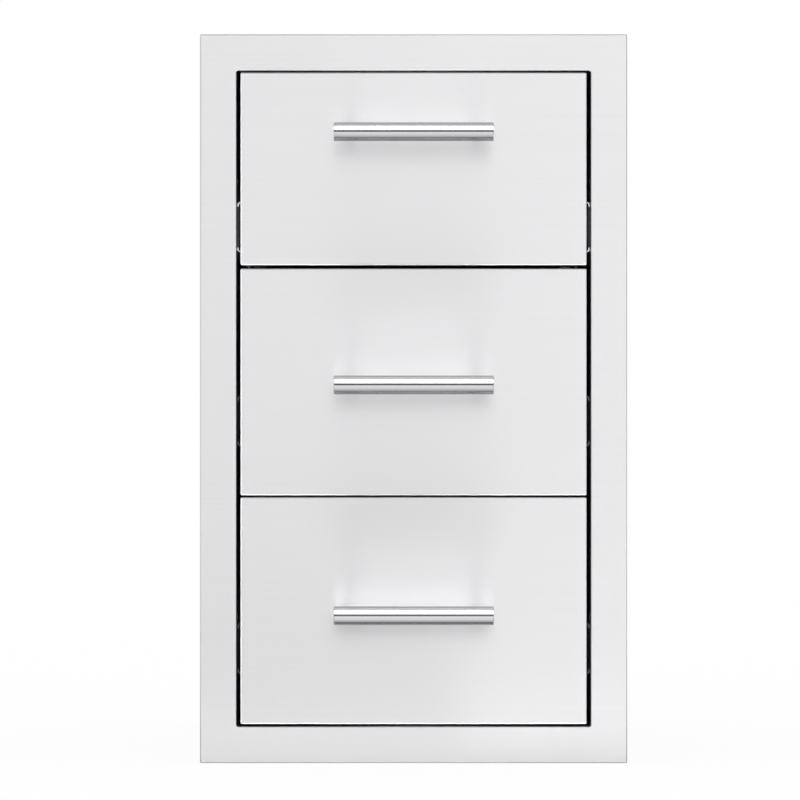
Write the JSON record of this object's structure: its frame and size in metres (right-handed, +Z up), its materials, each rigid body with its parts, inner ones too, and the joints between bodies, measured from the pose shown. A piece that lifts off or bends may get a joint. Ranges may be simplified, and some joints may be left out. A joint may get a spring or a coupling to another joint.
{
  "type": "outdoor kitchen drawer unit",
  "caption": "Built-in stainless steel drawer unit with a mitred face frame, a top drawer over deeper drawers, bar handles and full-extension ball slides.",
  "frame": {"origin": "on the plane where the face frame lands on the island, midway across its width and midway up its lower landing lip, 5 mm above the lower edge of the frame", "axes": "+X to the right seen from in front, +Y back into the island, +Z up; the fronts face -Y and the drawers pull out along -Y"},
  "size_m": [0.4318, 0.5658, 0.7366],
  "materials": {
    "brushed_face_steel": "brushed along the width, satin",
    "handle_steel": "finely turned, bright satin",
    "liner_sheet_steel": "mill finish sheet",
    "tray_sheet_steel": "mill finish sheet",
    "housing_sheet_steel": "mill finish sheet",
    "upright_sheet_steel": "mill finish sheet",
    "zinc_plated_steel": "bright zinc plating",
    "cage_steel": "plain steel strip with bright balls"
  },
  "bodies": {
    "cabinet": {"front_frame": "brushed_face_steel", "housing_left_side": "housing_sheet_steel", "housing_right_side": "housing_sheet_steel", "housing_top": "housing_sheet_steel", "housing_bottom": "housing_sheet_steel", "housing_back": "housing_sheet_steel", "upright_front_left": "upright_sheet_steel", "upright_front_right": "upright_sheet_steel", "upright_rear_left": "upright_sheet_steel", "upright_rear_right": "upright_sheet_steel", "top_slide_outer_left": "zinc_plated_steel", "top_slide_outer_right": "zinc_plated_steel", "middle_slide_outer_left": "zinc_plated_steel", "middle_slide_outer_right": "zinc_plated_steel", "bottom_slide_outer_left": "zinc_plated_steel", "bottom_slide_outer_right": "zinc_plated_steel"},
    "top_drawer": {"top_front_panel": "brushed_face_steel", "top_front_liner": "liner_sheet_steel", "top_tray": "tray_sheet_steel", "top_handle_bar": "handle_steel", "top_handle_post_left": "handle_steel", "top_handle_post_right": "handle_steel", "top_slide_inner_left": "zinc_plated_steel", "top_slide_inner_right": "zinc_plated_steel"},
    "top_slide_middles": {"top_slide_middle_left": "zinc_plated_steel", "top_slide_middle_right": "zinc_plated_steel"},
    "top_outer_cages": {"top_outer_cage_left": "cage_steel", "top_outer_cage_right": "cage_steel"},
    "top_inner_cages": {"top_inner_cage_left": "cage_steel", "top_inner_cage_right": "cage_steel"},
    "middle_drawer": {"middle_front_panel": "brushed_face_steel", "middle_front_liner": "liner_sheet_steel", "middle_tray": "tray_sheet_steel", "middle_handle_bar": "handle_steel", "middle_handle_post_left": "handle_steel", "middle_handle_post_right": "handle_steel", "middle_slide_inner_left": "zinc_plated_steel", "middle_slide_inner_right": "zinc_plated_steel"},
    "middle_slide_middles": {"middle_slide_middle_left": "zinc_plated_steel", "middle_slide_middle_right": "zinc_plated_steel"},
    "middle_outer_cages": {"middle_outer_cage_left": "cage_steel", "middle_outer_cage_right": "cage_steel"},
    "middle_inner_cages": {"middle_inner_cage_left": "cage_steel", "middle_inner_cage_right": "cage_steel"},
    "bottom_drawer": {"bottom_front_panel": "brushed_face_steel", "bottom_front_liner": "liner_sheet_steel", "bottom_tray": "tray_sheet_steel", "bottom_handle_bar": "handle_steel", "bottom_handle_post_left": "handle_steel", "bottom_handle_post_right": "handle_steel", "bottom_slide_inner_left": "zinc_plated_steel", "bottom_slide_inner_right": "zinc_plated_steel"},
    "bottom_slide_middles": {"bottom_slide_middle_left": "zinc_plated_steel", "bottom_slide_middle_right": "zinc_plated_steel"},
    "bottom_outer_cages": {"bottom_outer_cage_left": "cage_steel", "bottom_outer_cage_right": "cage_steel"},
    "bottom_inner_cages": {"bottom_inner_cage_left": "cage_steel", "bottom_inner_cage_right": "cage_steel"}
  },
  "joints": [
    {"name": "top_drawer_slide", "type": "slide", "parent": "cabinet", "child": "top_drawer", "axis": [0, -1, 0], "range_m": [0, 0.457]},
    {"name": "top_slide_middles_run", "type": "slide", "parent": "cabinet", "child": "top_slide_middles", "axis": [0, -1, 0], "range_m": [0, 0.2285]},
    {"name": "top_outer_cages_run", "type": "slide", "parent": "cabinet", "child": "top_outer_cages", "axis": [0, -1, 0], "range_m": [0, 0.11425]},
    {"name": "top_inner_cages_run", "type": "slide", "parent": "cabinet", "child": "top_inner_cages", "axis": [0, -1, 0], "range_m": [0, 0.34275]},
    {"name": "middle_drawer_slide", "type": "slide", "parent": "cabinet", "child": "middle_drawer", "axis": [0, -1, 0], "range_m": [0, 0.457]},
    {"name": "middle_slide_middles_run", "type": "slide", "parent": "cabinet", "child": "middle_slide_middles", "axis": [0, -1, 0], "range_m": [0, 0.2285]},
    {"name": "middle_outer_cages_run", "type": "slide", "parent": "cabinet", "child": "middle_outer_cages", "axis": [0, -1, 0], "range_m": [0, 0.11425]},
    {"name": "middle_inner_cages_run", "type": "slide", "parent": "cabinet", "child": "middle_inner_cages", "axis": [0, -1, 0], "range_m": [0, 0.34275]},
    {"name": "bottom_drawer_slide", "type": "slide", "parent": "cabinet", "child": "bottom_drawer", "axis": [0, -1, 0], "range_m": [0, 0.457]},
    {"name": "bottom_slide_middles_run", "type": "slide", "parent": "cabinet", "child": "bottom_slide_middles", "axis": [0, -1, 0], "range_m": [0, 0.2285]},
    {"name": "bottom_outer_cages_run", "type": "slide", "parent": "cabinet", "child": "bottom_outer_cages", "axis": [0, -1, 0], "range_m": [0, 0.11425]},
    {"name": "bottom_inner_cages_run", "type": "slide", "parent": "cabinet", "child": "bottom_inner_cages", "axis": [0, -1, 0], "range_m": [0, 0.34275]}
  ],
  "couplings": [
    {"joint": "top_slide_middles_run", "follows": "top_drawer_slide", "ratio": 0.5},
    {"joint": "top_outer_cages_run", "follows": "top_drawer_slide", "ratio": 0.25},
    {"joint": "top_inner_cages_run", "follows": "top_drawer_slide", "ratio": 0.75},
    {"joint": "middle_slide_middles_run", "follows": "middle_drawer_slide", "ratio": 0.5},
    {"joint": "middle_outer_cages_run", "follows": "middle_drawer_slide", "ratio": 0.25},
    {"joint": "middle_inner_cages_run", "follows": "middle_drawer_slide", "ratio": 0.75},
    {"joint": "bottom_slide_middles_run", "follows": "bottom_drawer_slide", "ratio": 0.5},
    {"joint": "bottom_outer_cages_run", "follows": "bottom_drawer_slide", "ratio": 0.25},
    {"joint": "bottom_inner_cages_run", "follows": "bottom_drawer_slide", "ratio": 0.75}
  ]
}
